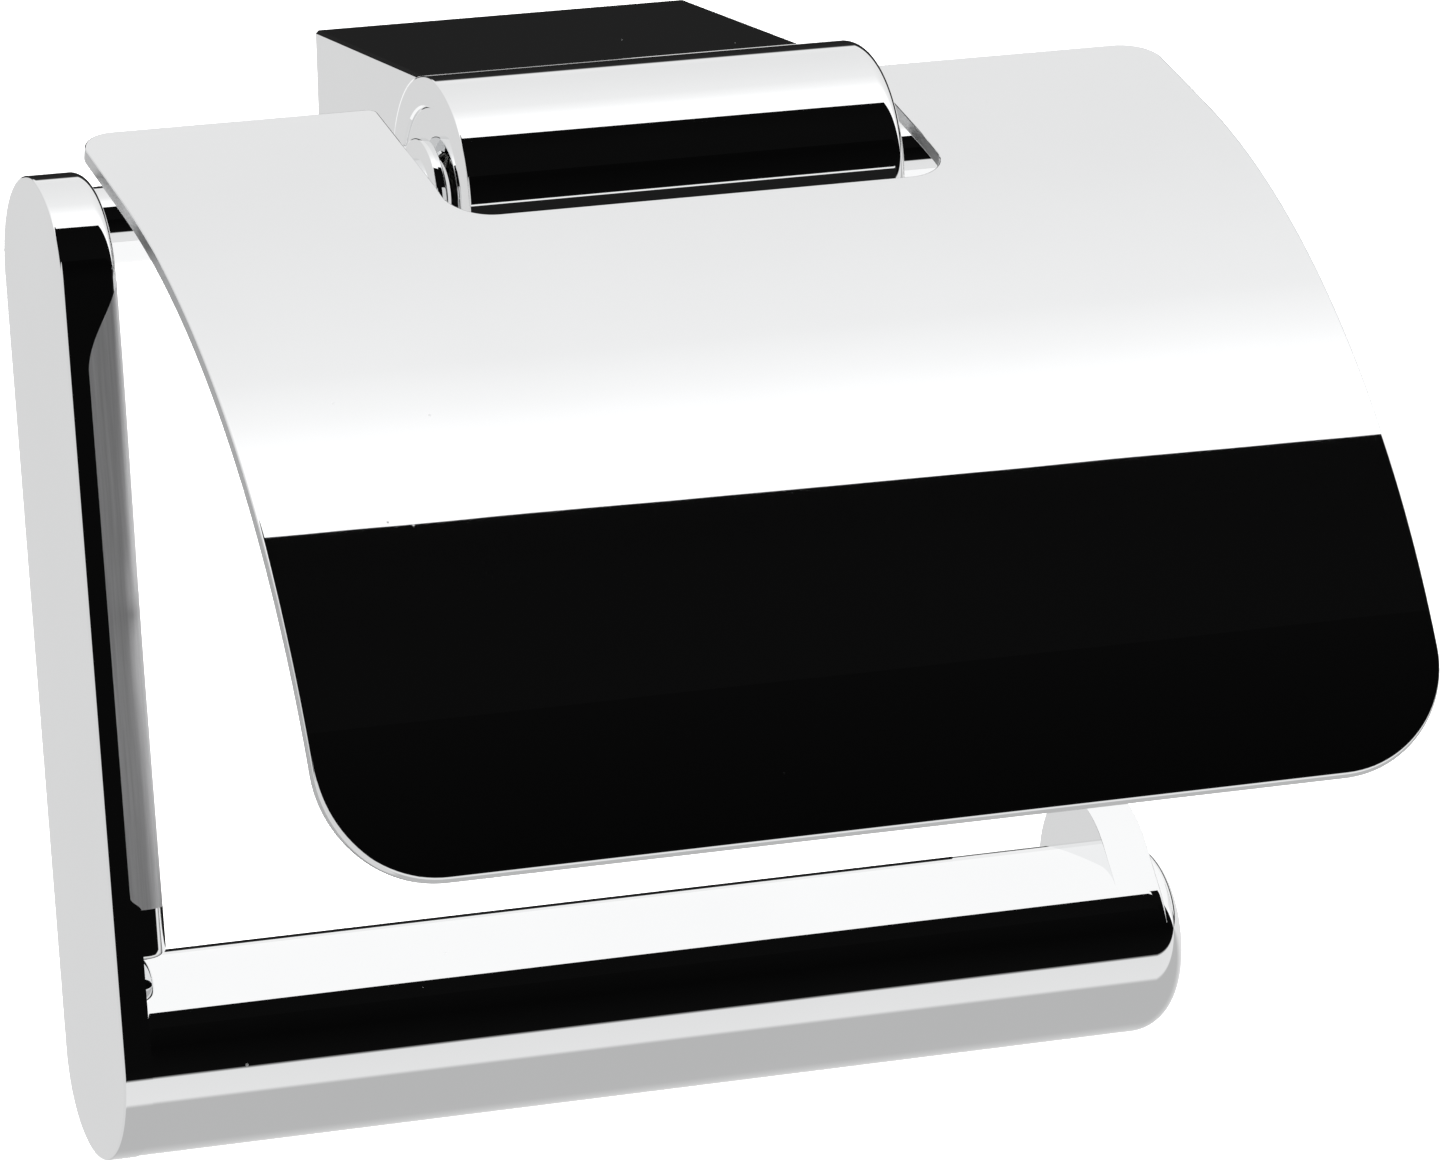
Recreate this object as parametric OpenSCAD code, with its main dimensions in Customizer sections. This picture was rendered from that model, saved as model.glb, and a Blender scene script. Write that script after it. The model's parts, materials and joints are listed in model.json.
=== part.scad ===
// Wall-mounted toilet paper holder with a hinged cover.
// Millimetres. +Z is up, the wall is the plane Y = 0 and the object stands in front of it at -Y.
// The origin is the middle of the mounting face, level with the pivot axis.

/* [Mount] */
// Width of the mount block
block_w = 50.6; // [50:0.2:51.4]
// Height of the mount block
block_h = 29.4; // [29:0.1:29.6]
// Distance from the wall to the pivot axis
wall_to_axis = 44.3; // [42:0.1:48]
// Wall thickness of the hollow block
block_wall = 2.6; // [2:0.1:3.2]
// Radius of the round barrel
barrel_r = 14.9; // [14.8:0.05:15.4]
// Length of the barrel past the block's right face
barrel_overhang = 7.5; // [6:0.1:8]
// Radius of the bore along the barrel
barrel_bore_r = 7; // [6.8:0.1:7.4]
// Radius of the barrel's end caps
cap_r = 11.05; // [10.5:0.05:11.5]
// Spacing of the two wall screw holes
hole_spacing = 22; // [20:0.5:25]
// Radius of the wall screw holes
hole_r = 2.4; // [2:0.1:2.8]

/* [Swing frame] */
// Angle of the frame out from the wall at rest
arm_tilt = 7.3; // [4:0.1:10]
// Left face of the arm, measured from the middle of the block
arm_left = -77.3; // [-80:0.1:-76]
// Thickness of the arm
arm_t = 7.4; // [7:0.1:7.6]
// Half of the arm's depth
arm_r = 12.6; // [12.6:0.1:13.2]
// Radius of the arm's rounded inner edge
arm_round = 3; // [2:0.1:3.4]
// Pivot to the centre of the arm's upper round end
arm_top_drop = 5.7; // [4:0.1:7]
// Pivot to the centre of the arm's lower round end and of the roll bar
bar_drop = 102.5; // [98:0.5:106]
// Radius of the roll bar
bar_r = 12.5; // [12:0.1:12.5]
// Wall thickness of the roll bar
bar_wall = 1.6; // [1.2:0.1:2]
// Right end of the roll bar
bar_right = 65.2; // [64:0.1:67]
// Radius of the roll bar's rounded right end
bar_round = 5.2; // [4:0.1:5.6]
// Left face of the upturned end tab
tab_left = 56; // [55:0.1:57]
// Thickness of the end tab
tab_t = 6; // [5.6:0.1:6.4]
// Height of the tab's arc centre above the bar axis
tab_rise = 5.9; // [5:0.1:7]
// How far the tab's arc centre lies behind the bar axis
tab_back = 3.8; // [3:0.1:4.6]
// Rounding of the tab's edges
tab_round = 0.6; // [0.4:0.1:1.2]
// Half of the tab's depth
tab_r = 12.4; // [12:0.1:12.45]
// Radius of the pivot shaft
shaft_r = 4.85; // [4.8:0.05:4.9]
// Outward swing of the frame from rest
swing_max = 35; // [20:1:35]

/* [Cover] */
// Left edge of the cover
cover_left = -68.8; // [-69.2:0.1:-68]
// Width of the cover
cover_w = 143.6; // [142:0.2:146]
// Thickness of the cover sheet
cover_t = 2; // [1.5:0.1:2.1]
// Slope of the flat strip at the back of the cover
cover_slope = 15.4; // [14:0.1:17]
// Length of the flat strip at the back of the cover
cover_flat = 19.7; // [19:0.1:22]
// Outer radius of the cover's bend
cover_bend_r = 106.6; // [100:0.2:115]
// Angle of the cover's bend
cover_bend = 57; // [52:0.5:60]
// Back edge of the cover behind the pivot axis
cover_back_y = 7.3; // [6.5:0.1:8]
// Back edge of the cover above the pivot axis
cover_back_z = 10.3; // [10.2:0.1:11]
// Radius of the cover's two back corners
cover_back_round = 4.8; // [4:0.1:7]
// Radius of the cover's two front corners
cover_front_round = 14.5; // [12:0.5:17]
// Left side of the cover's notch
notch_left = -29.8; // [-30.6:0.1:-29]
// Width of the cover's notch
notch_w = 65.2; // [65:0.1:67]
// Depth of the cover's notch
notch_depth = 31.6; // [30:0.1:33]
// Radius of the notch's inner corners
notch_round = 5.5; // [4:0.1:7]
// Opening angle of the cover from rest
cover_open = 85; // [60:1:85]

/* [Hidden] */
$fn = 72;
chrome = [0.86, 0.87, 0.88];
steel = [0.62, 0.63, 0.65];
nylon = [0.93, 0.93, 0.90];
half_w = block_w / 2;
half_h = block_h / 2;
barrel_x0 = -half_w;
barrel_x1 = half_w + barrel_overhang;
cap_depth = 2;
cap_t = 1.6;
running = 0.05;
bush_r = shaft_r + running;
collar_r = 7.3;
collar_t = 1.3;
collar_gap = 0.3;
groove_r = 4.35;
clip_groove_r = 3.8;
clip_r = 5.55;
web_y = wall_to_axis - barrel_r - 4.9;
screw_x = 14;
arm_in = arm_left + arm_t;
shaft_left = arm_left + 2;
shaft_right = 56;
lug_t = 3;
lug_left_x = -46.5;
lug_right_x = 49.5;
lug_r = 8.5;
lug_bore_r = 5.4;
hub_len = 3;
hub_r = 8.3;
stop_x = 3.75;
stop_pin_r = 1.25;
stop_ring_r = 5.2;
// angles of the two stop pins at rest, measured about X from -Z towards +Y
rest_up = 180 - arm_tilt;
rest_down = -arm_tilt;
cover_pin_x = lug_left_x + lug_t + hub_len / 2;
cover_pin_r = 1;
insert_len = 14;
grub_x = arm_in + 8;
spigot_x = tab_left + 2.5;
spigot_r = 2.2;
flat_end_y = cover_back_y - cover_flat * cos(cover_slope);
flat_end_z = cover_back_z - cover_flat * sin(cover_slope);
bend_y = flat_end_y + cover_bend_r * sin(cover_slope);
bend_z = flat_end_z - cover_bend_r * cos(cover_slope);
cover_end = cover_slope + cover_bend;
front_y = bend_y - cover_bend_r * sin(cover_end);
front_z = bend_z + cover_bend_r * cos(cover_end);

// cylinder along X
module xcyl(r, x0, x1) {
  translate([x0, 0, 0]) rotate([0, 90, 0]) cylinder(r = r, h = x1 - x0);
}

// solid of revolution about X from a profile drawn as radius and distance along X
module xrev() {
  rotate([0, 90, 0]) rotate_extrude() children();
}

// move to the pivot axis
module at_axis() {
  translate([0, -wall_to_axis, 0]) children();
}

// move to the pivot axis, turned with the frame so that -Z runs down the arm
module in_frame() {
  at_axis() rotate([-arm_tilt, 0, 0]) children();
}

// radius profile of a disc from x0 to x1 with one rounded edge at x1
module disc_profile(r, x0, x1, e) {
  square([r - e, x1 - x0]);
  square([r, x1 - x0 - e]);
  translate([r - e, x1 - x0 - e]) circle(r = e, $fn = 48);
}

// round end of a plate, rounded at its right edge
module plate_end(r, x0, x1, e) {
  translate([x0, 0, 0]) xrev() disc_profile(r, x0, x1, e);
}

// straight part of a plate running down from z = 0, rounded at its two right edges
module plate_run(r, x0, x1, e, len) {
  translate([x0, 0, -len]) linear_extrude(height = len) {
    translate([0, -r]) square([x1 - x0 - e, 2 * r]);
    translate([0, e - r]) square([x1 - x0, 2 * (r - e)]);
    translate([x1 - x0 - e, r - e]) circle(r = e, $fn = 48);
    translate([x1 - x0 - e, e - r]) circle(r = e, $fn = 48);
  }
}

// sector of a ring about X, from angle a0 to a1 measured from -Z towards +Y
module sector(a0, a1, x0, x1, r) {
  am = (a0 + a1) / 2;
  translate([x0, 0, 0]) rotate([90, 0, 90]) linear_extrude(height = x1 - x0)
    polygon([[0, 0], [r * sin(a0), -r * cos(a0)], [r * 1.3 * sin(am), -r * 1.3 * cos(am)],
      [r * sin(a1), -r * cos(a1)]]);
}

module ring(ri, ro, x0, x1) {
  difference() {
    xcyl(ro, x0, x1);
    xcyl(ri, x0 - 1, x1 + 1);
  }
}

// hollow block, open at the wall and cut to seat the barrel
module mount_block() {
  c = 0.4;
  color(chrome) difference() {
    rotate([90, 0, 0]) linear_extrude(height = wall_to_axis)
      polygon([[c - half_w, -half_h], [half_w - c, -half_h], [half_w, c - half_h],
        [half_w, half_h - c], [half_w - c, half_h], [c - half_w, half_h],
        [-half_w, half_h - c], [-half_w, c - half_h]]);
    at_axis() xcyl(barrel_r + 0.02, -half_w - 1, half_w + 1, $fn = 144);
    translate([block_wall - half_w, -web_y, block_wall - half_h])
      cube([block_w - 2 * block_wall, web_y + 1, block_h - 2 * block_wall]);
    for (x = [-screw_x, screw_x])
      translate([x, -web_y + 1, 0]) rotate([90, 0, 0]) cylinder(r = 2.2, h = 8);
    translate([0, -9, -half_h - 1]) cylinder(r = 2.05, h = block_wall + 2);
  }
}

module barrel() {
  e = 2.1;
  color(chrome) at_axis() difference() {
    plate_end(barrel_r, barrel_x0, barrel_x1, e, $fn = 144);
    xcyl(barrel_bore_r, barrel_x0 - 1, barrel_x1 + 1);
    xcyl(cap_r, barrel_x0 - 1, barrel_x0 + cap_depth);
    xcyl(cap_r, barrel_x1 - cap_depth, barrel_x1 + 1);
    for (x = [-screw_x, screw_x])
      translate([x, barrel_r + 1, 0]) rotate([90, 0, 0]) cylinder(r = 2.02, h = barrel_r - 7.3);
  }
}

module left_end_cap() {
  x = barrel_x0 + cap_depth - cap_t;
  color(chrome) at_axis() ring(5.2, cap_r, x, x + cap_t);
}

module right_end_cap() {
  x = barrel_x1 - cap_depth;
  color(chrome) at_axis() ring(5.2, cap_r, x, x + cap_t);
}

module left_bush() {
  color(nylon) at_axis() ring(bush_r, barrel_bore_r, barrel_x0 + cap_depth, barrel_x0 + 16);
}

module right_bush() {
  color(nylon) at_axis() ring(bush_r, barrel_bore_r, barrel_x1 - 16, barrel_x1 - cap_depth);
}

// ring fixed in the barrel; its slot lets the stop pin travel through the swing angle
module swing_stop_ring() {
  w = asin(stop_pin_r / stop_ring_r) + 0.3;
  color(steel) at_axis() difference() {
    ring(stop_ring_r, barrel_bore_r, stop_x - 3.25, stop_x + 3.25);
    sector(rest_up - swing_max - w, rest_up + w, stop_x - 2, stop_x + 2, 9);
  }
}

module wall_bracket() {
  inner = half_h - block_wall;
  color(steel) difference() {
    union() {
      translate([-17, -2.5, -8]) cube([34, 2.5, 16]);
      translate([-12, -12, 7.5]) cube([24, 12, inner - 7.5]);
      translate([-8, -14, -10.5]) cube([16, 14, 3]);
    }
    for (x = [-hole_spacing / 2, hole_spacing / 2])
      translate([x, 1, 0]) rotate([90, 0, 0]) cylinder(r = hole_r, h = 5);
  }
}

module bracket_grub_screw() {
  color(steel) translate([0, -9, 0]) difference() {
    translate([0, 0, 0.4 - half_h]) cylinder(r = 2, h = half_h - 10.9);
    translate([0, 0, -half_h]) cylinder(r = 1.15, h = 2, $fn = 6);
  }
}

module barrel_screws() {
  color(steel) for (x = [-screw_x, screw_x]) translate([x, -web_y, 0]) difference() {
    union() {
      rotate([-90, 0, 0]) cylinder(r = 3.6, h = 2.4);
      rotate([90, 0, 0]) cylinder(r = 2, h = 11.4);
    }
    translate([-2, 1.2, -0.35]) cube([4, 2, 0.7]);
    translate([-0.35, 1.2, -2]) cube([0.7, 2, 4]);
  }
}

// outer shape of the arm, without its holes, in the frame's own axes
module arm_body() {
  translate([0, 0, -arm_top_drop]) plate_end(arm_r, arm_left, arm_in, arm_round);
  translate([0, 0, -bar_drop]) plate_end(arm_r, arm_left, arm_in, arm_round);
  translate([0, 0, -arm_top_drop])
    plate_run(arm_r, arm_left, arm_in, arm_round, bar_drop - arm_top_drop);
}

module left_arm() {
  color(chrome) in_frame() difference() {
    arm_body();
    xcyl(shaft_r, shaft_left, arm_in + 1);
    translate([0, 0, -bar_drop]) xcyl(2, arm_in - 5, arm_in + 1);
  }
}

module pivot_shaft() {
  clip_x = lug_right_x + lug_t + 0.4;
  lc = barrel_x0 - collar_gap - collar_t;
  rc = barrel_x1 + collar_gap;
  color(chrome) in_frame() difference() {
    translate([shaft_left, 0, 0]) xrev() polygon([[0, 0], [shaft_r, 0],
      [shaft_r, shaft_right - shaft_left - 0.8], [shaft_r - 0.8, shaft_right - shaft_left],
      [0, shaft_right - shaft_left]]);
    ring(groove_r, 8, lc, lc + collar_t);
    ring(groove_r, 8, rc, rc + collar_t);
    ring(clip_groove_r, 8, clip_x, clip_x + 1);
    translate([stop_x, 0, -3]) cylinder(r = stop_pin_r, h = 10);
    translate([cover_pin_x, 0, -8]) cylinder(r = cover_pin_r, h = 11);
  }
}

module left_shaft_collar() {
  x = barrel_x0 - collar_gap - collar_t;
  color(chrome) in_frame() ring(groove_r, collar_r, x, x + collar_t);
}

module right_shaft_collar() {
  x = barrel_x1 + collar_gap;
  color(chrome) in_frame() ring(groove_r, collar_r, x, x + collar_t);
}

// cross pin in the shaft that meets the ends of the slot in the stop ring
module swing_stop_pin() {
  color(steel) in_frame() translate([stop_x, 0, -3]) cylinder(r = stop_pin_r, h = 9.6);
}

// cross pin in the shaft that carries the cover at rest
module cover_stop_pin() {
  color(steel) in_frame() translate([cover_pin_x, 0, -8]) cylinder(r = cover_pin_r, h = 11);
}

module shaft_end_clip() {
  x = lug_right_x + lug_t + 0.4;
  color(steel) in_frame() difference() {
    ring(clip_groove_r, clip_r, x, x + 1);
    translate([x - 1, -2.8, -12]) cube([3, 5.6, 12]);
  }
}

// tube with a closed, rounded right end, fitted to the arm's rounded inner edge
module roll_bar() {
  color(chrome) in_frame() difference() {
    translate([0, 0, -bar_drop]) difference() {
      plate_end(bar_r, arm_left + 3, bar_right, bar_round, $fn = 120);
      xcyl(bar_r - bar_wall, arm_left, bar_right - 4.2);
      translate([spigot_x, 0, 0]) cylinder(r = spigot_r, h = 20);
      translate([grub_x, 0, -20]) cylinder(r = 1.6, h = 20);
    }
    arm_body();
  }
}

// upturned stop at the bar's free end, leaning back, standing on the bar with a spigot
module end_tab() {
  color(chrome) in_frame() translate([0, 0, -bar_drop]) union() {
    difference() {
      translate([0, tab_back, tab_rise]) rotate([-atan2(tab_back, tab_rise), 0, 0]) union() {
        plate_end(tab_r, tab_left, tab_left + tab_t, tab_round);
        plate_run(tab_r, tab_left, tab_left + tab_t, tab_round, norm([tab_back, tab_rise]));
      }
      plate_end(bar_r, arm_left + 3, bar_right, bar_round, $fn = 120);
    }
    translate([spigot_x, 0, bar_r - bar_wall - 0.4]) cylinder(r = spigot_r, h = 2.6);
  }
}

module bar_insert() {
  color(steel) in_frame() translate([0, 0, -bar_drop]) difference() {
    xcyl(bar_r - bar_wall, arm_in, arm_in + insert_len);
    xcyl(2.1, arm_in - 1, arm_in + insert_len + 1);
    translate([arm_in + insert_len - 3, 0, 0]) rotate([0, 90, 0])
      cylinder(r1 = 2.1, r2 = 5.1, h = 3.01);
    translate([grub_x, 0, -20]) cylinder(r = 1.5, h = 20);
  }
}

module bar_insert_screw() {
  x0 = arm_in - 4.6;
  x1 = arm_in + insert_len - 0.4;
  color(steel) in_frame() translate([0, 0, -bar_drop]) difference() {
    union() {
      xcyl(1.98, x0, x1);
      translate([x1 - 2.6, 0, 0]) rotate([0, 90, 0]) cylinder(r1 = 1.98, r2 = 4.4, h = 2.6);
    }
    translate([x1 - 1.6, 0, 0]) rotate([0, 90, 0]) cylinder(r = 1.5, h = 3, $fn = 6);
  }
}

module bar_grub_screw() {
  color(steel) in_frame() translate([grub_x, 0, -bar_drop]) difference() {
    translate([0, 0, -bar_r + 0.3]) cylinder(r = 1.48, h = 8);
    translate([0, 0, -bar_r]) cylinder(r = 0.85, h = 1.8, $fn = 6);
  }
}

// section of the bent sheet, drawn with y to the right and z up from where the flat strip ends
module cover_section() {
  am = 90 + cover_bend / 2;
  a1 = 90 + cover_bend;
  far = 160;
  translate([flat_end_y, flat_end_z]) rotate(cover_slope) {
    translate([0, -cover_t]) square([cover_flat, cover_t]);
    translate([0, -cover_bend_r]) intersection() {
      difference() {
        circle(r = cover_bend_r, $fn = 360);
        circle(r = cover_bend_r - cover_t, $fn = 360);
      }
      polygon([[0, 0], [0, far], [far * cos(am), far * sin(am)], [far * cos(a1), far * sin(a1)]]);
    }
  }
}

// square corner less its round, drawn from a corner at the origin
module corner_cut(r) {
  difference() {
    translate([-1, -1]) square([r + 1, r + 1]);
    translate([r, r]) circle(r = r + 0.02);
  }
}

// outline of the notch, open towards +y, with its two inner corners rounded
module notch_outline() {
  difference() {
    square([notch_w, notch_depth + 2]);
    corner_cut(notch_round);
    translate([notch_w, 0]) mirror([1, 0]) corner_cut(notch_round);
  }
}

module cover_sheet() {
  right = cover_left + cover_w;
  color(chrome) at_axis() difference() {
    translate([cover_left, 0, 0]) rotate([90, 0, 90]) linear_extrude(height = cover_w)
      cover_section();
    translate([0, cover_back_y, cover_back_z]) rotate([cover_slope, 0, 0])
      translate([0, 0, -6]) linear_extrude(height = 9) {
        translate([cover_left, 0]) mirror([0, 1]) corner_cut(cover_back_round);
        translate([right, 0]) rotate(180) corner_cut(cover_back_round);
        translate([notch_left, -notch_depth]) notch_outline();
      }
    translate([0, front_y, front_z]) rotate([cover_end - 4, 0, 0])
      translate([0, 0, -6]) linear_extrude(height = 12) {
        translate([cover_left, 0]) corner_cut(cover_front_round);
        translate([right, 0]) mirror([1, 0]) corner_cut(cover_front_round);
      }
  }
}

// everything above the flat strip's underside
module above_sheet() {
  translate([0, cover_back_y, cover_back_z]) rotate([cover_slope, 0, 0])
    translate([-100, -60, -cover_t]) cube([200, 90, 40]);
}

module lug(x0) {
  difference() {
    union() {
      xcyl(lug_r, x0, x0 + lug_t);
      translate([x0, -9.5, 0]) cube([lug_t, 14.5, 12]);
    }
    xcyl(lug_bore_r, x0 - 1, x0 + lug_t + 1);
    above_sheet();
  }
}

// the left lug's hub is slotted; the cover's rest and its full opening are the slot's two ends
module left_lug() {
  w = asin(cover_pin_r / lug_bore_r) + 0.3;
  x0 = lug_left_x + lug_t;
  color(chrome) at_axis() union() {
    lug(lug_left_x);
    difference() {
      ring(lug_bore_r, hub_r, x0, x0 + hub_len);
      sector(rest_down - w, rest_down + cover_open + w, x0 - 1, x0 + hub_len + 1, 9);
      above_sheet();
    }
  }
}

module right_lug() {
  color(chrome) at_axis() lug(lug_right_x);
}

module left_lug_sleeve() {
  color(nylon) at_axis() ring(bush_r, lug_bore_r, lug_left_x, lug_left_x + lug_t);
}

module right_lug_sleeve() {
  color(nylon) at_axis() ring(bush_r, lug_bore_r, lug_right_x, lug_right_x + lug_t);
}

mount_block();
barrel();
left_end_cap();
right_end_cap();
left_bush();
right_bush();
swing_stop_ring();
wall_bracket();
bracket_grub_screw();
barrel_screws();
left_arm();
pivot_shaft();
left_shaft_collar();
right_shaft_collar();
swing_stop_pin();
cover_stop_pin();
shaft_end_clip();
roll_bar();
end_tab();
bar_insert();
bar_insert_screw();
bar_grub_screw();
cover_sheet();
left_lug();
right_lug();
left_lug_sleeve();
right_lug_sleeve();
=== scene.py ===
import json
import math

import bmesh
import bpy
from mathutils import Matrix, Vector


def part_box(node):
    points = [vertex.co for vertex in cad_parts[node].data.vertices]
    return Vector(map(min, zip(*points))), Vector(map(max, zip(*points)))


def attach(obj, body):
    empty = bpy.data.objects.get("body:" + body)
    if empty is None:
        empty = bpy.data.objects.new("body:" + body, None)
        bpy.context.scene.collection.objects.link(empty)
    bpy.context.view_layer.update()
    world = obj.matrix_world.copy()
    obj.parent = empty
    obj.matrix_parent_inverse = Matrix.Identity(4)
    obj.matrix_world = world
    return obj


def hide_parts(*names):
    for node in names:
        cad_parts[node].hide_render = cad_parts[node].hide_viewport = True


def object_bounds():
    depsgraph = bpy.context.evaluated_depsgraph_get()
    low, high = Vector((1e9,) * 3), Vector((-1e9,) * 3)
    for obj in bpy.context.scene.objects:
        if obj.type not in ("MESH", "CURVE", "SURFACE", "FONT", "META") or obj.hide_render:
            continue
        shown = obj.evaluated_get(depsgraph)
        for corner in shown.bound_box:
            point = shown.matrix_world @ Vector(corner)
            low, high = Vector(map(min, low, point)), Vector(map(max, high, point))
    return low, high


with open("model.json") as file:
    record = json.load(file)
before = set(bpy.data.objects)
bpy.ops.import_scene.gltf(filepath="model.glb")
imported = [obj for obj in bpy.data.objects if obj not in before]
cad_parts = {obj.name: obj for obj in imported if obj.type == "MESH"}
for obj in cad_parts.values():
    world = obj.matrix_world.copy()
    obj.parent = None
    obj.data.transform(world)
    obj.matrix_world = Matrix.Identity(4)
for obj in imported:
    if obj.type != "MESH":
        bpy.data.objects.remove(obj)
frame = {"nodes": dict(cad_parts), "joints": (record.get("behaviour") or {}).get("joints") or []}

cad_box = [list(c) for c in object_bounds()]
MM = 0.001
QUARTER = math.pi / 2
scene = bpy.context.scene


# ---------------------------------------------------------------- node helpers

def new_material(name, metallic, color, rough):
    m = bpy.data.materials.new(name)
    m.use_nodes = True
    b = m.node_tree.nodes["Principled BSDF"]
    b.inputs["Metallic"].default_value = metallic
    b.inputs["Base Color"].default_value = (*color, 1)
    b.inputs["Roughness"].default_value = rough
    return m, m.node_tree.nodes, m.node_tree.links, b


def add(nodes, kind, **values):
    """new node; each value is one of its properties or the constant on one of its sockets"""
    n = nodes.new(kind)
    for k, v in values.items():
        if hasattr(n, k):
            setattr(n, k, v)
        else:
            n.inputs[k.replace("_", " ")].default_value = v
    return n


def plug(l, socket, value):
    """link a socket, or set a number or a colour on it"""
    if isinstance(value, bpy.types.NodeSocket):
        l.new(value, socket)
    elif isinstance(value, tuple):
        socket.default_value = (*value, 1)
    else:
        socket.default_value = value


def ramp(n, l, factor, stops):
    """grey ramp through (position, value) stops"""
    r = add(n, "ShaderNodeValToRGB")
    els = r.color_ramp.elements
    while len(els) > 1:
        els.remove(els[-1])
    for i, (pos, c) in enumerate(stops):
        e = els[0] if i == 0 else els.new(pos)
        e.position = pos
        e.color = (c, c, c, 1)
    l.new(factor, r.inputs["Fac"])
    return r.outputs["Color"]


def noise(n, l, vector, scale, detail, roughness=0.5):
    t = add(n, "ShaderNodeTexNoise", Scale=scale, Detail=detail, Roughness=roughness)
    l.new(vector, t.inputs["Vector"])
    return t.outputs["Fac"]


def scaled(n, l, vector, scale):
    t = add(n, "ShaderNodeMapping")
    t.inputs["Scale"].default_value = scale
    l.new(vector, t.inputs["Vector"])
    return t.outputs["Vector"]


def remap(n, l, value, to_min, to_max, from_min=0.0, from_max=1.0, curve="LINEAR"):
    g = add(n, "ShaderNodeMapRange", interpolation_type=curve)
    for key, v in zip(("From Min", "From Max", "To Min", "To Max"), (from_min, from_max, to_min, to_max)):
        g.inputs[key].default_value = v
    l.new(value, g.inputs["Value"])
    return g.outputs["Result"]


def calc(n, l, op, *values):
    g = add(n, "ShaderNodeMath", operation=op)
    for socket, v in zip(g.inputs, values):
        plug(l, socket, v)
    return g.outputs[0]


def blend(n, l, factor, a, b):
    """mix of two colours"""
    g = add(n, "ShaderNodeMix", data_type="RGBA")
    for i, v in ((0, factor), (6, a), (7, b)):
        plug(l, g.inputs[i], v)
    return g.outputs[2]


def relief(n, l, b, height, strength, distance):
    """fine bumps on a material's surface"""
    g = add(n, "ShaderNodeBump", Strength=strength, Distance=distance)
    l.new(height, g.inputs["Height"])
    l.new(g.outputs["Normal"], b.inputs["Normal"])


def times(color, k):
    return tuple(min(1.0, c * k) for c in color)


# ---------------------------------------------------------------- materials

def polished(name, color, rough, wave, scratch):
    """Plated, polished metal: cloudy gloss, hairline scratches, pin-prick dust and a slight waviness."""
    dust_rough = 0.35
    m, n, l, b = new_material(name, 1.0, color, rough)
    at = add(n, "ShaderNodeTexCoord").outputs["Object"]
    cloud = noise(n, l, at, 38.0, 4.0, 0.55)
    hair = noise(n, l, scaled(n, l, at, (14.0, 900.0, 900.0)), 1.0, 3.0, 0.7)
    hairlines = ramp(n, l, hair, [(0.0, 0.0), (0.62, 0.0), (0.8, 1.0)])
    cells = add(n, "ShaderNodeTexVoronoi", Scale=210.0)
    l.new(at, cells.inputs["Vector"])
    dots = ramp(n, l, cells.outputs["Distance"], [(0.0, 1.0), (0.035, 1.0), (0.05, 0.0)])
    where = ramp(n, l, noise(n, l, at, 23.0, 1.0), [(0.0, 0.0), (0.6, 0.0), (0.66, 1.0)])
    dust = calc(n, l, "MULTIPLY", dots, where)
    gloss = remap(n, l, cloud, rough * 0.7, rough * 1.35)
    gloss = calc(n, l, "MULTIPLY_ADD", hairlines, scratch, gloss)
    gloss = calc(n, l, "MULTIPLY_ADD", dust, dust_rough, gloss)
    l.new(gloss, b.inputs["Roughness"])
    l.new(blend(n, l, cloud, color, times(color, 0.965)), b.inputs["Base Color"])
    relief(n, l, b, noise(n, l, at, 26.0, 2.0), wave, 0.0004)
    return m


def brushed(name, color, rough, along, strength):
    """Satin metal brushed along one axis."""
    m, n, l, b = new_material(name, 1.0, color, rough)
    at = add(n, "ShaderNodeTexCoord").outputs["Object"]
    scale = [2600.0, 2600.0, 2600.0]
    scale[along] = 22.0
    lines = noise(n, l, scaled(n, l, at, scale), 1.0, 4.0, 0.65)
    uneven = calc(n, l, "MULTIPLY_ADD", noise(n, l, at, 45.0, 3.0), 0.25, lines)
    l.new(remap(n, l, uneven, rough * 0.75, rough * 1.3, 0.2, 0.95), b.inputs["Roughness"])
    l.new(blend(n, l, lines, times(color, 0.82), times(color, 1.08)), b.inputs["Base Color"])
    relief(n, l, b, lines, strength, 0.00006)
    return m


def moulded(name, color, rough):
    """Moulded nylon: slightly mottled, with a fine grain."""
    m, n, l, b = new_material(name, 0.0, color, rough)
    at = add(n, "ShaderNodeTexCoord").outputs["Object"]
    cloud = noise(n, l, at, 160.0, 3.0)
    l.new(blend(n, l, cloud, color, times(color, 0.88)), b.inputs["Base Color"])
    l.new(remap(n, l, cloud, rough * 0.8, rough * 1.2), b.inputs["Roughness"])
    relief(n, l, b, noise(n, l, at, 2400.0, 2.0), 0.25, 0.00004)
    return m


CHROME = (0.90, 0.905, 0.91)
chrome = polished("chrome", CHROME, 0.016, 0.10, 0.01)
chrome_cast = polished("chrome_cast", CHROME, 0.022, 0.16, 0.012)
# the cover's brushed underside; also laid on the outer rim as painted shade
cover_under_and_rim_shade = brushed("cover_underside_and_rim_shade", (0.60, 0.605, 0.61), 0.30, 0, 0.5)
steel = brushed("steel_plain", (0.60, 0.60, 0.61), 0.32, 0, 0.4)
steel_turned = brushed("steel_turned", (0.64, 0.64, 0.65), 0.24, 2, 0.3)
nylon = moulded("nylon", (0.86, 0.85, 0.81), 0.45)

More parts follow.
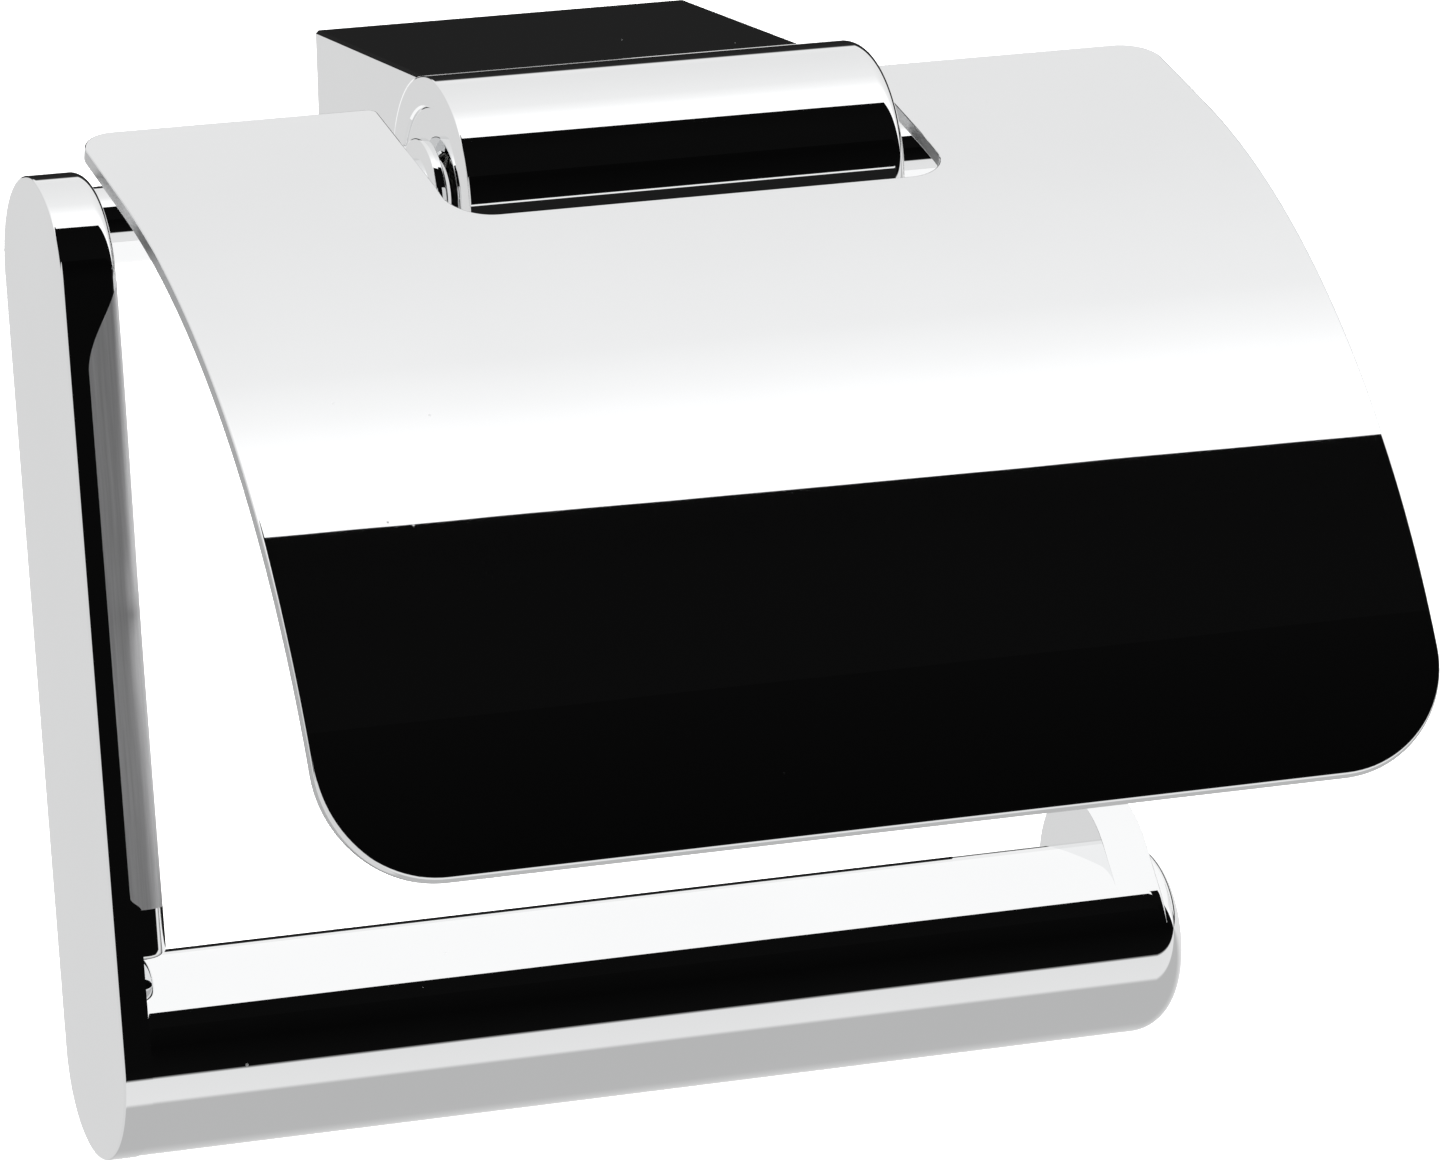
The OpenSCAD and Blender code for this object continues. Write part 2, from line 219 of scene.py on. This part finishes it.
BY_NODE = {
    "mount_block": chrome_cast, "barrel": chrome, "left_end_cap": chrome, "right_end_cap": chrome,
    "left_arm": chrome, "pivot_shaft": chrome, "left_shaft_collar": chrome, "right_shaft_collar": chrome,
    "roll_bar": chrome, "end_tab": chrome, "cover_sheet": chrome,
    "left_lug": chrome_cast, "right_lug": chrome_cast,
    "left_bush": nylon, "right_bush": nylon, "left_lug_sleeve": nylon, "right_lug_sleeve": nylon,
    "wall_bracket": steel, "swing_stop_ring": steel_turned, "bracket_grub_screw": steel_turned,
    "barrel_screws": steel_turned, "swing_stop_pin": steel_turned, "cover_stop_pin": steel_turned,
    "shaft_end_clip": steel, "bar_insert": steel_turned, "bar_insert_screw": steel_turned,
    "bar_grub_screw": steel_turned,
}
for node, obj in frame["nodes"].items():
    obj.data.materials.clear()
    obj.data.materials.append(BY_NODE[node])


# ---------------------------------------------------------------- mesh helpers

def finish_piece(bm, name, body, mats, nodes, sharp_deg=32.0):
    """mesh to object: smooth except at sharp edges, riding on its body in place of its CAD nodes"""
    bmesh.ops.recalc_face_normals(bm, faces=bm.faces)
    lim = math.radians(sharp_deg)
    for f in bm.faces:
        f.smooth = True
    for e in bm.edges:
        e.smooth = not (len(e.link_faces) == 2 and e.calc_face_angle(0.0) > lim)
    me = bpy.data.meshes.new(name)
    bm.to_mesh(me)
    bm.free()
    ob = bpy.data.objects.new(name, me)
    scene.collection.objects.link(ob)
    for m in mats:
        me.materials.append(m)
    wn = ob.modifiers.new("even_normals", "WEIGHTED_NORMAL")
    wn.mode = "FACE_AREA"
    wn.weight = 50
    wn.keep_sharp = True
    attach(ob, body)
    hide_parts(*nodes)
    return ob


def fillet(r, steps, a0, a1):
    """points on a quarter round, as (outwards, along) offsets from its centre"""
    return [(r * math.cos(a0 + (a1 - a0) * i / steps), r * math.sin(a0 + (a1 - a0) * i / steps))
            for i in range(steps + 1)]


def revolve(name, profile, centre, seg, body, mats, nodes):
    """closed profile of (radius, x) turned about an axis along X"""
    bm = bmesh.new()
    cy, cz = centre
    turns = [2 * math.pi * k / seg for k in range(seg)]
    rings = []
    for r, x in profile:
        rings.append([bm.verts.new((x, cy + r * math.cos(t), cz + r * math.sin(t))) for t in turns])
    for a, b in zip(rings, rings[1:] + rings[:1]):
        for k in range(seg):
            j = (k + 1) % seg
            bm.faces.new((a[k], b[k], b[j], a[j]))
    return finish_piece(bm, name, body, mats, nodes)


def stack(name, loops, body, mats, nodes, place):
    """closed skin over loops of equal count, capped at both ends and moved into place"""
    bm = bmesh.new()
    rows = [[bm.verts.new(p) for p in lp] for lp in loops]
    n = len(rows[0])
    for a, b in zip(rows[:-1], rows[1:]):
        for k in range(n):
            j = (k + 1) % n
            bm.faces.new((a[k], a[j], b[j], b[k]))
    bm.faces.new(rows[0])
    bm.faces.new(list(reversed(rows[-1])))
    bmesh.ops.transform(bm, matrix=place, verts=bm.verts)
    return finish_piece(bm, name, body, mats, nodes)


def edge_profile(x0, x1, r0, r1, steps0, steps1):
    """(x, inset) pairs across a plate's thickness with its two edges rounded by r0 and r1"""
    out = []
    for i in range(steps0, -1, -1):
        a = QUARTER * i / steps0
        out.append((x0 + r0 * (1 - math.sin(a)), r0 * (1 - math.cos(a))))
    for i in range(steps1 + 1):
        a = QUARTER * i / steps1
        out.append((x1 - r1 * (1 - math.sin(a)), r1 * (1 - math.cos(a))))
    return out


# ---------------------------------------------------------------- dimensions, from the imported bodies

pivot = Vector(frame["joints"][0]["pos_m"])
arm_lo, arm_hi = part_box("left_arm")
bar_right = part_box("roll_bar")[1].x
tab_lo, tab_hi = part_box("end_tab")
barrel_lo, barrel_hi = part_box("barrel")
cover_lo, cover_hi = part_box("cover_sheet")
TILT = math.radians(7.3)
ARM_R = 12.6 * MM
BAR_R = 12.5 * MM
BAR_DROP = 102.5 * MM
TOP_DROP = 5.7 * MM
BAR_END_R = 5.2 * MM
hang = Matrix.Translation(pivot) @ Matrix.Rotation(-TILT, 4, "X")


# ---------------------------------------------------------------- arm

INNER_X = arm_lo.x + 3.7 * MM       # where the outer plate meets the thicker inner part
OUTER_EDGE, INNER_EDGE = 0.35 * MM, 3.0 * MM
OUTER_STEPS, INNER_STEPS = 4, 16
INNER_END = -BAR_DROP + 14.2 * MM   # the inner part ends just above the bar
INNER_SOFT = 1.2 * MM
SIDE_STEPS = 24


def arm_outline(r, z_bot, soft=None, seg=64):
    """outline in (y, z), round at the top; the lower end is round, or square with soft corners"""
    pts = []
    for i in range(seg + 1):
        a = math.pi * i / seg
        pts.append((r * math.cos(a), -TOP_DROP + r * math.sin(a)))
    for j in range(1, SIDE_STEPS):
        pts.append((-r, -TOP_DROP + (z_bot + TOP_DROP) * j / SIDE_STEPS))
    for i in range(seg + 1):
        a = math.pi + math.pi * i / seg
        c, v = math.cos(a), math.sin(a)
        if soft is None:
            pts.append((r * c, z_bot + r * v))
        else:
            pts.append((r * math.copysign(abs(c) ** 0.3, c), z_bot - soft * abs(v) ** 0.3))
    for j in range(SIDE_STEPS - 1, 0, -1):
        pts.append((r, -TOP_DROP + (z_bot + TOP_DROP) * j / SIDE_STEPS))
    return pts


def edge_round(z):
    """rounding of the arm's inner edge: 1.7 mm near the pivot, growing to 3.0 mm further down"""
    t = min(1.0, max(0.0, (-z - 12 * MM) / (45 * MM)))
    return (1.7 + 1.3 * t * t * (3 - 2 * t)) * MM


def arm_loops():
    """the outer plate runs down to the bar; the thicker inner part stops above it, with a rounded edge"""
    edge = edge_profile(arm_lo.x, arm_hi.x, OUTER_EDGE, INNER_EDGE, OUTER_STEPS, INNER_STEPS)
    loops = []
    for x, inset in edge[:OUTER_STEPS + 1]:
        loops.append([(x, y, z) for y, z in arm_outline(ARM_R - inset, -BAR_DROP)])
    loops.append([(INNER_X, y, z) for y, z in arm_outline(ARM_R, -BAR_DROP)])
    inner = arm_outline(ARM_R, INNER_END, INNER_SOFT)
    loops.append([(INNER_X, y, z) for y, z in inner])
    for i in range(INNER_STEPS + 1):
        a = QUARTER * i / INNER_STEPS
        loop = []
        for k, (_, z0) in enumerate(inner):
            r = edge_round(z0)
            inset = r * (1 - math.cos(a))
            y, z = arm_outline(ARM_R - inset, INNER_END + inset * 0.4, INNER_SOFT)[k]
            loop.append((arm_hi.x - r * (1 - math.sin(a)), y, z))
        loops.append(loop)
    return loops


def chrome_with_painted_reflection(name, band_end, grey, grey_rough):
    """the arm's chrome, with a painted reflection down the front of its rounded inner edge: a grey,
    streaked band, with a rougher gloss, that stands for the cover's brushed underside seen in the arm
    """
    m = polished(name, CHROME, 0.016, 0.10, 0.01)
    n, l = m.node_tree.nodes, m.node_tree.links
    b = n["Principled BSDF"]
    upright = add(n, "ShaderNodeMapping")
    upright.inputs["Rotation"].default_value = (TILT, 0.0, 0.0)
    upright.inputs["Location"].default_value = -(Matrix.Rotation(TILT, 3, "X") @ pivot)
    l.new(add(n, "ShaderNodeTexCoord").outputs["Object"], upright.inputs["Vector"])
    at = upright.outputs["Vector"]
    xyz = add(n, "ShaderNodeSeparateXYZ")
    l.new(at, xyz.inputs[0])
    x, y, z = (xyz.outputs[k] for k in "XYZ")
    # the band's outer border tapers to nothing near the pivot and has a soft lower corner
    border = remap(n, l, z, INNER_X - 1.1 * MM, INNER_X + 3.9 * MM, -17 * MM, -3.7 * MM, "SMOOTHSTEP")
    soft_corner = remap(n, l, z, 1.3 * MM, 0.0, band_end, band_end + 1.6 * MM, "SMOOTHSTEP")
    inside = calc(n, l, "GREATER_THAN", calc(n, l, "SUBTRACT", x, soft_corner), border)
    above = calc(n, l, "GREATER_THAN", z, band_end)
    front = calc(n, l, "LESS_THAN", y, -ARM_R + 3.2 * MM)
    band = calc(n, l, "MULTIPLY", calc(n, l, "MULTIPLY", inside, above), front)
    # painted reflection: grey streaks along the arm, standing for the cover's brushed underside mirrored in
    # it
    streak = noise(n, l, scaled(n, l, at, (2600.0, 2600.0, 60.0)), 1.0, 4.0, 0.65)
    painted_reflection = blend(n, l, streak, times(grey, 0.7), times(grey, 1.25))
    polish = b.inputs["Base Color"].links[0].from_socket
    l.new(blend(n, l, band, polish, painted_reflection), b.inputs["Base Color"])
    gloss = add(n, "ShaderNodeMix", data_type="FLOAT")
    for i, v in ((0, band), (2, b.inputs["Roughness"].links[0].from_socket), (3, grey_rough)):
        plug(l, gloss.inputs[i], v)
    l.new(gloss.outputs[0], b.inputs["Roughness"])
    return m


# grey and roughness of the arm's band, a painted reflection of the cover's underside
arm_chrome = chrome_with_painted_reflection("chrome_painted_reflection", INNER_END + 5.2 * MM, (0.70, 0.70, 0.71), 0.48)
arm = stack("arm", arm_loops(), "frame", [arm_chrome], ["left_arm"], hang)
arm.modifiers["even_normals"].weight = 92


# ---------------------------------------------------------------- roll bar and its end tab

at_bar = hang @ Matrix.Translation((0, 0, -BAR_DROP))


def bar_section(x, extra, seg=160):
    """circle whose upper half swells towards a soft square where it blends into the arm"""
    n = 1.0 / (0.5 - math.log2(1.0 + extra / BAR_R))
    pts = []
    for k in range(seg):
        a = 2 * math.pi * k / seg
        c, v = math.cos(a), math.sin(a)
        r = BAR_R
        if v > 0:
            r = BAR_R / (abs(c) ** n + abs(v) ** n) ** (1.0 / n)
        pts.append((x, r * c, r * v))
    return pts


FLARE, FLARE_LEN = 0.6 * MM, 0.7 * MM   # the small blend where the bar meets the arm
FLARE_STEPS = 16


def bar_loops():
    loops = [bar_section(INNER_X - 0.3 * MM, FLARE)]
    for i in range(FLARE_STEPS + 1):
        u = (i / FLARE_STEPS) ** 1.6
        extra = FLARE * (1 - math.sqrt(max(0.0, 1 - (1 - u) ** 2)))
        loops.append(bar_section(INNER_X + 0.02 * MM + FLARE_LEN * u, extra))
    x = loops[-1][0][0] + 6 * MM
    while x < bar_right - BAR_END_R - 2 * MM:
        loops.append(bar_section(x, 0.0))
        x += 12 * MM
    full = bar_section(0.0, 0.0)
    for o, a in fillet(BAR_END_R, 20, 0.0, QUARTER):
        k = (BAR_R - BAR_END_R + o) / BAR_R
        loops.append([(bar_right - BAR_END_R + a, y * k, z * k) for _, y, z in full])
    return loops


stack("bar", bar_loops(), "frame", [chrome], ["roll_bar"], at_bar)

TAB_BACK, TAB_RISE = 3.8 * MM, 5.9 * MM
lean = math.atan2(TAB_BACK, TAB_RISE)
reach = math.hypot(TAB_BACK, TAB_RISE)
RUN_OUT = 44   # degrees below the bar's centre line over which the tab merges into the bar


def tab_loop(x, inset):
    """section of the tab: half round at the top, straight sides, merging into the bar's rounded end"""
    r = BAR_R - inset
    loop = [(x, r * math.cos(math.pi * i / 64), reach + r * math.sin(math.pi * i / 64)) for i in range(65)]
    loop += [(x, -r, reach * h) for h in (0.75, 0.5, 0.25, 0.0)]
    past = max(0.0, x - (bar_right - BAR_END_R))
    under = min(r, BAR_R - BAR_END_R + math.sqrt(BAR_END_R * BAR_END_R - past * past)) - 0.05 * MM
    low = []
    for a in range(-4, -RUN_OUT - 1, -8):
        q = r + (under - r) * math.sin(math.radians(-a * 90 / RUN_OUT))
        low.append((q * math.cos(math.radians(a)), q * math.sin(math.radians(a))))
    loop += [(x, -y, z) for y, z in low]
    loop += [(x, y, z) for y, z in reversed(low)]
    return loop + [(x, r, reach * h) for h in (0.0, 0.25, 0.5, 0.75)]


tab_edge = edge_profile(tab_lo.x, tab_hi.x, 0.15 * MM, 0.6 * MM, 3, 6)
stack("tab", [tab_loop(x, inset) for x, inset in tab_edge], "frame", [chrome], ["end_tab"],
      at_bar @ Matrix.Rotation(-lean, 4, "X"))


# ---------------------------------------------------------------- barrel with its recessed ends

def barrel_profile():
    """tube with a recess in each end, a crisp left edge and a rounded right edge"""
    r = barrel_hi.z - pivot.z
    recess_r, bore, recess = 11.05 * MM, 7.0 * MM, 2.0 * MM
    crisp, soft = 0.25 * MM, 2.1 * MM
    x0, x1 = barrel_lo.x, barrel_hi.x
    prof = [(bore, x0 + recess), (recess_r, x0 + recess), (recess_r, x0 + crisp), (recess_r + crisp, x0)]
    prof += [(r - crisp + o, x0 + crisp - a) for o, a in fillet(crisp, 4, QUARTER, 0.0)]
    x = x0 + 4 * MM
    while x < x1 - soft - 2 * MM:
        prof.append((r, x))
        x += 8 * MM
    prof += [(r - soft + o, x1 - soft + a) for o, a in fillet(soft, 14, 0.0, QUARTER)]
    prof += [(recess_r + crisp, x1), (recess_r, x1 - crisp), (recess_r, x1 - recess), (bore, x1 - recess)]
    return prof


on_axis = (pivot.y, pivot.z)
barrel_shell = revolve("barrel_shell", barrel_profile(), on_axis, 160,
                       "mount", [chrome], ["barrel"])


def disc(name, node, body, mat, inner_r, bevel):
    """ring in place of a CAD disc, with bevelled edges"""
    lo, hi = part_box(node)
    ro = (hi.z - lo.z) / 2
    p = [(inner_r, lo.x + bevel), (inner_r + bevel, lo.x), (ro - bevel, lo.x)]
    p += [(ro - bevel + o, lo.x + bevel - a) for o, a in fillet(bevel, 4, QUARTER, 0.0)]
    p += [(ro - bevel + o, hi.x - bevel + a) for o, a in fillet(bevel, 4, 0.0, QUARTER)]
    p += [(inner_r + bevel, hi.x), (inner_r, hi.x - bevel)]
    revolve(name, p, on_axis, 96, body, [mat], [node])


for side in ("left", "right"):
    disc(f"cap_{side}", f"{side}_end_cap", "mount", chrome_cast, 5.2 * MM, 0.25 * MM)
for side in ("left", "right"):
    disc(f"collar_{side}", f"{side}_shaft_collar", "frame", chrome, 4.35 * MM, 0.2 * MM)


# ---------------------------------------------------------------- cover

SLOPE = math.radians(15.4)
FLAT = 19.7 * MM
BEND_R = 106.6 * MM
BEND = math.radians(57.0)
THICK = 2.0 * MM
LENGTH = FLAT + BEND_R * BEND
back = Vector((0, pivot.y + 7.3 * MM, pivot.z + 10.3 * MM))
cx0, cx1 = cover_lo.x, cover_hi.x
NOTCH_X0, NOTCH_W, NOTCH_D, NOTCH_R = -29.8 * MM, 65.2 * MM, 31.6 * MM, 5.5 * MM
R_BACK, R_FRONT, R_TIP = 4.8 * MM, 14.5 * MM, 1.2 * MM


def on_cover(s, h):
    """point at s along the outer surface from the back edge and h above it"""
    along = Vector((0, -math.cos(SLOPE), -math.sin(SLOPE)))
    out = Vector((0, -math.sin(SLOPE), math.cos(SLOPE)))
    if s <= FLAT:
        return back + along * s + out * h
    a = SLOPE + (s - FLAT) / BEND_R
    bend_centre = back + along * FLAT - out * BEND_R
    return bend_centre + Vector((0, -math.sin(a), math.cos(a))) * (BEND_R + h)


def corner(cx, cs, r, a0, a1, steps, inwards=1):
    """points round a corner with the direction into the sheet at each"""
    out = []
    for i in range(steps + 1):
        a = a0 + (a1 - a0) * i / steps
        c, s = math.cos(a), math.sin(a)
        out.append((cx + r * c, cs + r * s, -c * inwards, -s * inwards))
    return out


def cover_outline():
    """the flat sheet's outline, with its notch, as (x, s, direction into the sheet)"""
    q = QUARTER
    nx0, nx1 = NOTCH_X0, NOTCH_X0 + NOTCH_W
    out = corner(cx0 + R_BACK, R_BACK, R_BACK, 2 * q, 3 * q, 16)
    out += corner(nx0 - R_TIP, R_TIP, R_TIP, 3 * q, 4 * q, 8)
    out += corner(nx0 + NOTCH_R, NOTCH_D - NOTCH_R, NOTCH_R, 2 * q, q, 14, -1)
    out += corner(nx1 - NOTCH_R, NOTCH_D - NOTCH_R, NOTCH_R, q, 0.0, 14, -1)
    out += corner(nx1 + R_TIP, R_TIP, R_TIP, 2 * q, 3 * q, 8)
    out += corner(cx1 - R_BACK, R_BACK, R_BACK, 3 * q, 4 * q, 16)
    out += corner(cx1 - R_FRONT, LENGTH - R_FRONT, R_FRONT, 0.0, q, 24)
    out += corner(cx0 + R_FRONT, LENGTH - R_FRONT, R_FRONT, q, 2 * q, 24)
    return out


def bend_into_shape(bm):
    """cut the flat sheet across, at even steps where it bends, then bend it"""
    cuts = [FLAT * 0.5, FLAT]
    while cuts[-1] < LENGTH - 1.0 * MM:
        cuts.append(cuts[-1] + 1.25 * MM)
    for s in cuts:
        bmesh.ops.bisect_plane(bm, geom=list(bm.verts) + list(bm.edges) + list(bm.faces), dist=1e-7,
                               plane_co=(0, s, 0), plane_no=(0, 1, 0))
    for v in bm.verts:
        p = on_cover(v.co.y, v.co.z)
        v.co = Vector((v.co.x, p.y, p.z))


def make_cover():
    """flat sheet with rounded rims, then bent; its underside is brushed, and the outer part of its rim
    takes the same darker brushed material as painted shade along the edge
    """
    rim_steps = 7
    bm = bmesh.new()
    arc = [QUARTER * i / rim_steps for i in range(rim_steps + 1)]
    upper = [(1 - math.sin(a), -(1 - math.cos(a)), 0.0) for a in arc]
    lower = [(inset, -h, -THICK) for inset, h, _ in upper[::-1]]
    outline = cover_outline()
    rows = []
    for inset, h, base in upper + lower:
        row = []
        for px, ps, nx, ns in outline:
            e = (0.32 + 0.58 * max(0.0, -ns)) * MM   # the rim is rounder towards the front
            row.append(bm.verts.new((px + nx * inset * e, ps + ns * inset * e, base + h * e)))
        rows.append(row)
    n = len(outline)
    for i, (a, b) in enumerate(zip(rows[:-1], rows[1:])):
        for k in range(n):
            j = (k + 1) % n
            f = bm.faces.new((a[k], a[j], b[j], b[k]))
            # from the rim's last step on, faces take the darker underside material: painted shade, a dark
            # line under the edge's highlight
            f.material_index = 1 if i >= rim_steps - 1 else 0
    bm.faces.new(list(reversed(rows[0])))
    bm.faces.new(rows[-1]).material_index = 1
    bmesh.ops.recalc_face_normals(bm, faces=bm.faces)
    bend_into_shape(bm)
    return finish_piece(bm, "cover_plate", "cover", [chrome, cover_under_and_rim_shade], ["cover_sheet"], 60)


cover = make_cover()


# ---------------------------------------------------------------- studio

def card(name, corners, mat):
    """flat card in any outline"""
    me = bpy.data.meshes.new(name)
    me.from_pydata(corners, [], [tuple(range(len(corners)))])
    me.materials.append(mat)
    ob = bpy.data.objects.new(name, me)
    scene.collection.objects.link(ob)
    return ob


def floor_paper():
    m, n, l, b = new_material("floor_paper", 0.0, (0.9, 0.9, 0.9), 0.9)
    at = add(n, "ShaderNodeTexCoord").outputs["Object"]
    cloud = noise(n, l, at, 3.0, 3.0)
    l.new(blend(n, l, cloud, (0.90, 0.90, 0.90), (0.93, 0.93, 0.93)), b.inputs["Base Color"])
    b.inputs["Specular IOR Level"].default_value = 0.0
    return m


FLOOR_GAP, FLOOR_HALF = 0.5, 30.0
floor_z = cad_box[0][2] - FLOOR_GAP
floor_corners = [(FLOOR_HALF * i, FLOOR_HALF * j, floor_z) for i, j in ((-1, -1), (1, -1), (1, 1), (-1, 1))]
floor = card("floor", floor_corners, floor_paper())
floor.visible_glossy = False


def glow(name, level, uneven):
    """card material of almost even brightness"""
    m, n, l, b = new_material(name, 0.0, (0.0, 0.0, 0.0), 1.0)
    b.inputs["Specular IOR Level"].default_value = 0.0
    at = add(n, "ShaderNodeTexCoord").outputs["Object"]
    cloud = noise(n, l, at, 2.0, 2.0)
    l.new(remap(n, l, cloud, level * (1.0 - uneven), level * (1.0 + uneven)), b.inputs["Emission Strength"])
    b.inputs["Emission Color"].default_value = (1, 1, 1, 1)
    return m


def reflected(name, corners, mat):
    """card seen in the polished surfaces only"""
    ob = card(name, corners, mat)
    ob.visible_camera = False
    ob.visible_diffuse = False
    ob.visible_shadow = False
    ob.visible_transmission = False


def panel(name, x0, x1, edge0, edge1, mat):
    """four-sided card from x0 to x1 between two edges given as (y, z)"""
    reflected(name, [(x0, *edge0), (x1, *edge0), (x1, *edge1), (x0, *edge1)], mat)


cloth = glow("flag_cloth", 0.0035, 0.4)
white = glow("card_white", 0.95, 0.02)
white_near = glow("card_white_near", 1.06, 0.04)
ink = glow("card_ink", 0.012, 0.3)

# a dark flag in front of the overhead light; its top edge falls to the right and sags a little
FLAG_LEFT, FLAG_RIGHT, FLAG_Y, FLAG_BOTTOM = -1.6, 1.9, -0.307, 0.12
flag_top = [(FLAG_RIGHT, 0.20), (0.315, 0.482), (0.206, 0.506), (0.15, 0.5225), (0.098, 0.543), (0.0, 0.57),
            (FLAG_LEFT, 0.86)]
flag = [(FLAG_LEFT, FLAG_BOTTOM), (FLAG_RIGHT, FLAG_BOTTOM)] + flag_top
reflected("flag", [(x, FLAG_Y, z) for x, z in flag], cloth)
# white cards behind and over the bar, with a dark strip level with the bar's top
panel("card_back", -0.066, 0.6, (0.05, -0.077), (0.05, -0.035), white)
panel("card_over", -0.0585, 0.25, (-0.0947, -0.045), (0.05, -0.045), white_near)
panel("strip_dark", -0.069, 0.044, (-0.040, -0.096), (-0.040, -0.0855), ink)
# glowing stand-ins, seen only in the barrel, for the notch's front edge and the sheet's shaded side: a
# painted highlight along the edge and painted shade below it
panel("notch_rim_highlight", -0.030, 0.036, (-0.0673, 0.0005), (-0.0673, 0.0009), white)
panel("notch_shade", -0.034, 0.040, (-0.0674, 0.0005), (-0.095, -0.021), ink)

# these parts are left out of the reflections, where the cards above stand for what is seen
for node in ("cover_sheet", "mount_block", "barrel", "pivot_shaft", "left_lug", "right_lug",
             "left_end_cap", "right_end_cap"):
    frame["nodes"][node].visible_glossy = False
for piece in (cover, barrel_shell):
    piece.visible_glossy = False

# brightness of the studio by the angle up from the front horizon, in degrees: 90 is overhead, 180 behind
SKY = [(-180, 0.85), (-158, 0.82), (-142, 0.66), (-118, 0.52), (-46, 0.52), (-42, 0.86), (-15, 0.84),
       (-13.5, 0.004), (20, 0.002), (61, 0.004), (62, 1.3), (78, 1.25), (88, 1.06), (96, 0.96), (110, 0.92),
       (125, 0.89), (140, 0.87), (150, 0.92), (152.5, 0.025), (180, 0.012)]
SIDE_GREY = (0.74, 0.74, 0.74)


def studio_world():
    """bands of light and dark round the object's long axis, with an even grey low on the left"""
    world = bpy.data.worlds.new("studio")
    world.use_nodes = True
    n, l = world.node_tree.nodes, world.node_tree.links
    xyz = add(n, "ShaderNodeSeparateXYZ")
    l.new(add(n, "ShaderNodeTexCoord").outputs["Generated"], xyz.inputs[0])
    x, y, z = (xyz.outputs[k] for k in "XYZ")
    angle = calc(n, l, "ARCTAN2", z, calc(n, l, "MULTIPLY", y, -1.0))
    turn = remap(n, l, angle, 0.0, 1.0, -math.pi, math.pi)
    bands = ramp(n, l, turn, [((a + 180.0) / 360.0, c) for a, c in SKY])
    left = remap(n, l, x, 0.0, 1.0, -0.16, -0.24)
    low = remap(n, l, z, 0.0, 1.0, 0.52, 0.46)
    l.new(blend(n, l, calc(n, l, "MULTIPLY", left, low), bands, SIDE_GREY), n["Background"].inputs["Color"])
    n["Background"].inputs["Strength"].default_value = 1.0
    return world


scene.world = studio_world()


def overhead_light():
    """large soft light, left out of the reflections"""
    d = bpy.data.lights.new("overhead", "AREA")
    d.shape = "SQUARE"
    d.size = 9.0
    d.energy = 900.0
    o = bpy.data.objects.new("overhead", d)
    scene.collection.objects.link(o)
    o.location = (0, 0.5, 4.0)
    o.rotation_euler = (Vector((0, 0.5, 0)) - o.location).to_track_quat("-Z", "Y").to_euler()
    o.visible_glossy = False
    o.visible_camera = False


overhead_light()


# ---------------------------------------------------------------- camera

AZIMUTH, ELEVATION, ROLL = (math.radians(a) for a in (20.278, 12.285, 1.577))
CAMERA_AT = Vector((-0.38897, -1.12927, 0.19875))
FILM_WIDTH, FOCAL = 36.0, 232.5


def photo_camera():
    """camera at the photo's angle: turned to the right, looking down, and rolled slightly"""
    sa, ca, se, ce = math.sin(AZIMUTH), math.cos(AZIMUTH), math.sin(ELEVATION), math.cos(ELEVATION)
    level, up = Vector((ca, -sa, 0)), Vector((sa * se, ca * se, ce))
    look = Vector((sa * ce, ca * ce, -se))
    right = math.cos(ROLL) * level - math.sin(ROLL) * up
    top = math.sin(ROLL) * level + math.cos(ROLL) * up
    data = bpy.data.cameras.new("camera")
    data.sensor_width = FILM_WIDTH
    data.lens = FOCAL
    data.clip_start = 0.05
    data.clip_end = 200.0
    camera = bpy.data.objects.new("camera", data)
    scene.collection.objects.link(camera)
    m = Matrix((right, top, -look)).transposed().to_4x4()
    m.translation = CAMERA_AT
    camera.matrix_world = m
    return camera


scene.camera = photo_camera()
scene.view_settings.view_transform = "Standard"
